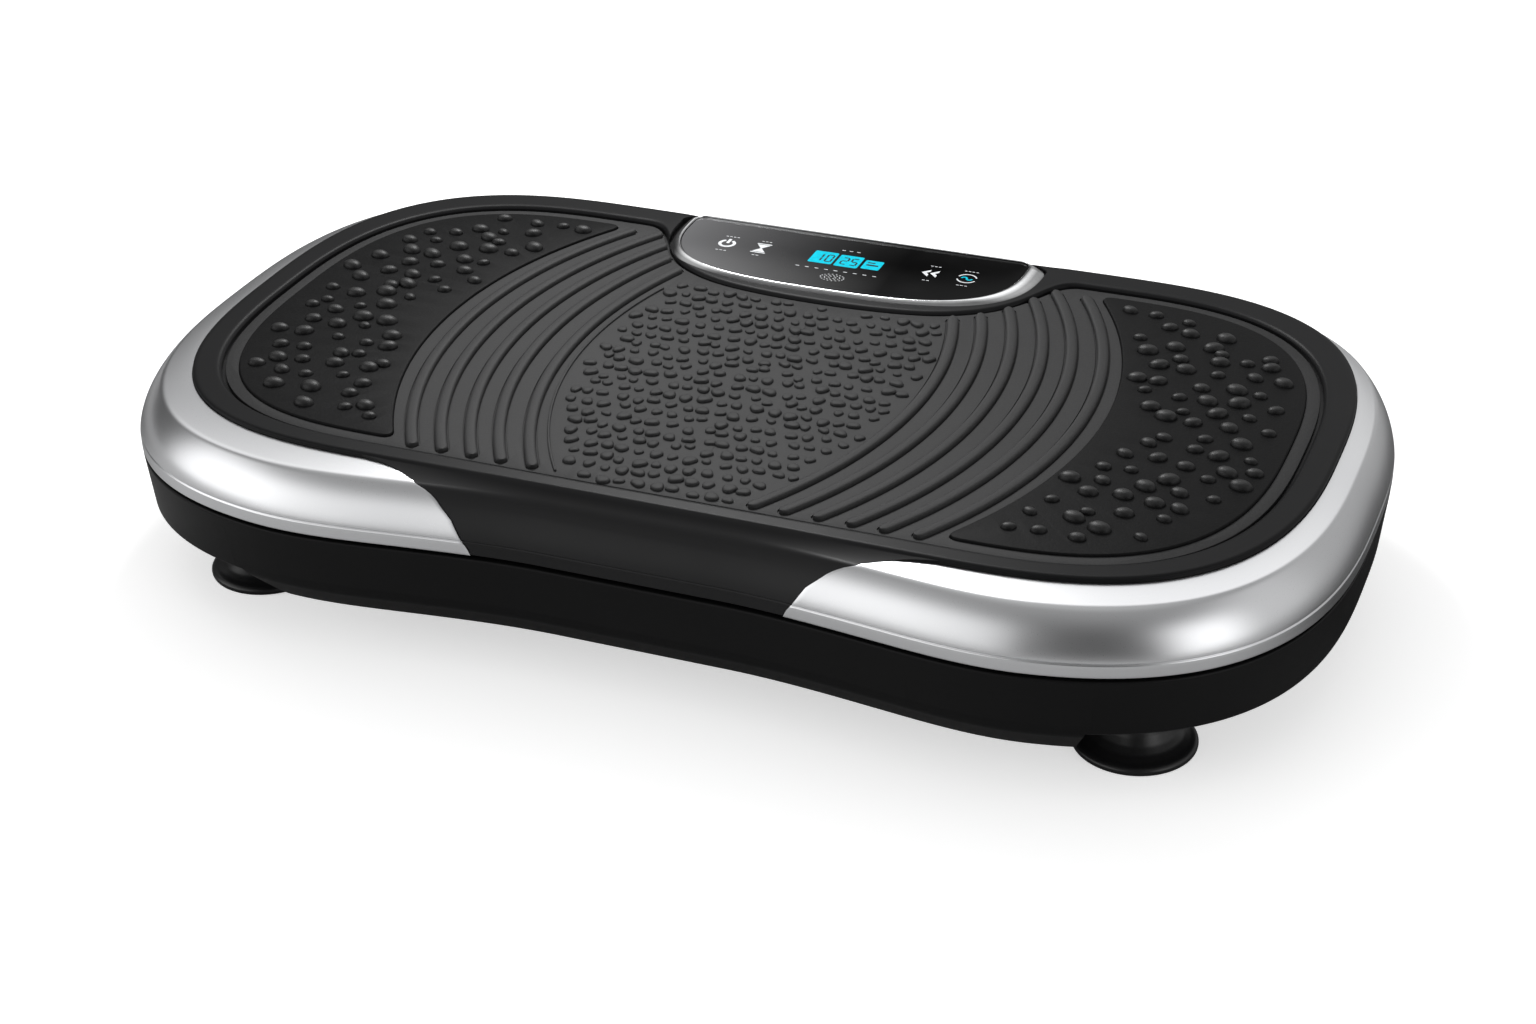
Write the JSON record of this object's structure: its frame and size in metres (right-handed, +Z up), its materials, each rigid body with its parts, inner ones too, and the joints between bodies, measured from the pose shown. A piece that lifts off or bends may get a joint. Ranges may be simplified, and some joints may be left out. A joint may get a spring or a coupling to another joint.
{
  "type": "vibration plate",
  "caption": "Low see-saw vibration plate: ribbed rubber standing deck with silver end covers and a half-moon control panel, rocked on a central shaft by a belt-driven crank.",
  "frame": {"origin": "on the floor, under the middle of the plate", "axes": "+X along the long side to the right, +Y to the back where the control panel is, +Z up"},
  "size_m": [0.726, 0.4118, 0.1164],
  "materials": {
    "shell_black": "satin moulded",
    "deck_black": "satin moulded",
    "silver_trim": "satin silver lacquer",
    "ring_chrome": "polished",
    "panel_gloss": "polished black",
    "mat_rubber": "fine grain",
    "pad_rubber": "fine grain",
    "foot_rubber": "semi-gloss",
    "buffer_rubber": "matt",
    "frame_steel": "powder coat",
    "cast_block": "as cast",
    "bearing_steel": "ground",
    "ground_steel": "ground",
    "screw_steel": "zinc plated",
    "spring_steel": "plated",
    "board_green": "solder mask",
    "display_face": "lit segments",
    "motor_case": "satin",
    "magnet_dark": "sintered",
    "rotor_steel": "laminated",
    "fan_plastic": "moulded",
    "pulley_alu": "machined",
    "belt_rubber": "toothed belt",
    "rod_alu": "die cast",
    "component_dark": "sleeved",
    "heatsink_alu": "extruded",
    "standoff_plastic": "nylon",
    "socket_plastic": "fine grain",
    "rocker_plastic": "glossy",
    "cable_jacket": "PVC jacket"
  },
  "bodies": {
    "base": {"base_tray": "shell_black", "bottom_cover": "shell_black", "bottom_cover_screws": "screw_steel", "base_frame": "frame_steel", "suction_foot_front_left": "foot_rubber", "suction_foot_front_right": "foot_rubber", "suction_foot_back_left": "foot_rubber", "suction_foot_back_right": "foot_rubber", "foot_studs": "screw_steel", "foot_nuts": "screw_steel", "bump_stops": "buffer_rubber", "pivot_bearing_blocks": "cast_block", "pivot_bearings": "bearing_steel", "pivot_block_bolts": "screw_steel", "crank_bearing_blocks": "cast_block", "crank_bearings": "bearing_steel", "motor_housing": "motor_case", "motor_magnets": "magnet_dark", "motor_bracket": "frame_steel", "motor_bolts": "screw_steel", "drive_belt": "belt_rubber", "power_board": "board_green", "board_components": "component_dark", "board_heatsink": "heatsink_alu", "board_standoffs": "standoff_plastic", "electronics_plate": "frame_steel", "rear_socket_plate": "shell_black", "mains_inlet": "socket_plastic", "switch_body": "socket_plastic", "mains_cable": "cable_jacket", "motor_cable": "cable_jacket"},
    "platform": {"platform_frame": "frame_steel", "deck_shell": "deck_black", "deck_screws": "screw_steel", "deck_mat": "mat_rubber", "foot_pad_left": "pad_rubber", "foot_pad_right": "pad_rubber", "silver_cover_left": "silver_trim", "silver_cover_right": "silver_trim", "panel_trim_ring": "ring_chrome", "panel_glass": "panel_gloss", "display_board": "board_green", "display_module": "display_face", "touch_key_springs": "spring_steel", "pivot_shaft": "ground_steel", "pivot_circlips": "screw_steel", "wrist_pin": "ground_steel", "display_cable": "cable_jacket"},
    "crank": {"crank_shaft": "ground_steel", "eccentric_bearing": "bearing_steel", "crank_pulley": "pulley_alu"},
    "rod": {"connecting_rod": "rod_alu"},
    "rotor": {"motor_rotor": "rotor_steel", "motor_fan": "fan_plastic", "motor_pulley": "pulley_alu"},
    "rocker": {"switch_rocker": "rocker_plastic"}
  },
  "joints": [
    {"name": "platform_rock", "type": "hinge", "parent": "base", "child": "platform", "pos_m": [0, 0, 0.082], "axis": [0, 1, 0], "range_deg": [-0.35, 0.35], "stiffness_Nm_per_rad": 4000},
    {"name": "crank_spin", "type": "hinge", "parent": "base", "child": "crank", "pos_m": [0.15, 0, 0.067], "axis": [0, 1, 0], "continuous": true},
    {"name": "motor_spin", "type": "hinge", "parent": "base", "child": "rotor", "pos_m": [0.062, 0, 0.069], "axis": [0, 1, 0], "continuous": true},
    {"name": "rod_swing", "type": "hinge", "parent": "platform", "child": "rod", "pos_m": [0.15, 0, 0.0905], "axis": [0, 1, 0], "range_deg": [-0.5, 0.5]},
    {"name": "mains_switch", "type": "hinge", "parent": "base", "child": "rocker", "pos_m": [-0.048, 0.1866, 0.059], "axis": [0, 0, 1], "range_deg": [0, 14]}
  ],
  "couplings": [
    {"joint": "motor_spin", "follows": "crank_spin", "ratio": 2.7},
    {"joint": "rod_swing", "follows": "platform_rock", "ratio": -1}
  ]
}
